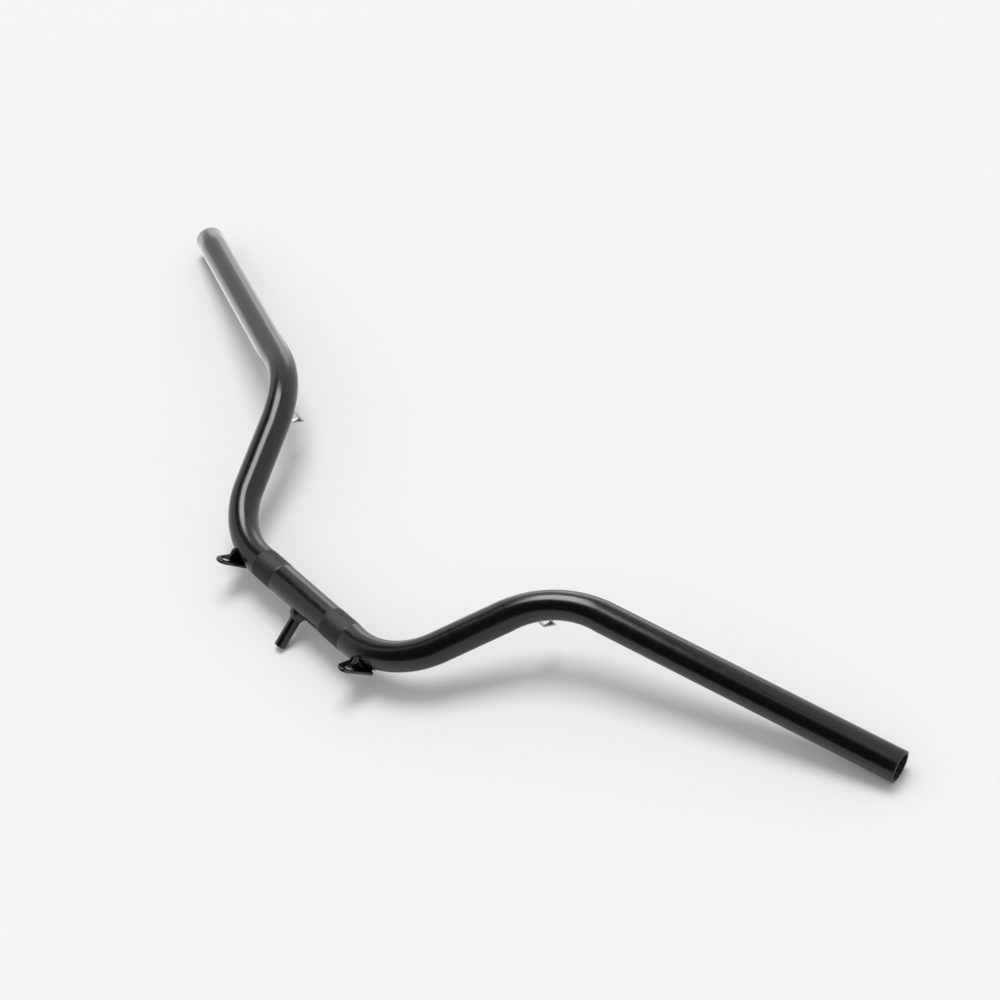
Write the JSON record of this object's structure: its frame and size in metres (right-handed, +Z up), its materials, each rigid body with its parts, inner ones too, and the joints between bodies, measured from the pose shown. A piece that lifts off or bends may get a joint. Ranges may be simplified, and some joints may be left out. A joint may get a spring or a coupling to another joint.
{
  "type": "bicycle handlebar",
  "caption": "Riser handlebar of bent round tube with knurled clamp zone, locating peg, pressed brackets on the lower bends and strap cable guides on the upper bends.",
  "frame": {"origin": "centre of the clamp zone on the axis of the tube", "axes": "+X along the clamp zone towards the right grip, +Y towards the side on which the risers and grips lie, +Z up with the bar lying at rest on its peg and both grip ends"},
  "size_m": [0.7996, 0.2248, 0.0657],
  "materials": {
    "bar_coating": "satin",
    "bracket_coating": "gloss",
    "guide_steel": "satin"
  },
  "bodies": {
    "root": {"handlebar_tube": "bar_coating", "locating_peg": "bar_coating", "left_bracket": "bracket_coating", "right_bracket": "bracket_coating", "left_cable_guide": "guide_steel", "right_cable_guide": "guide_steel"}
  },
  "joints": []
}
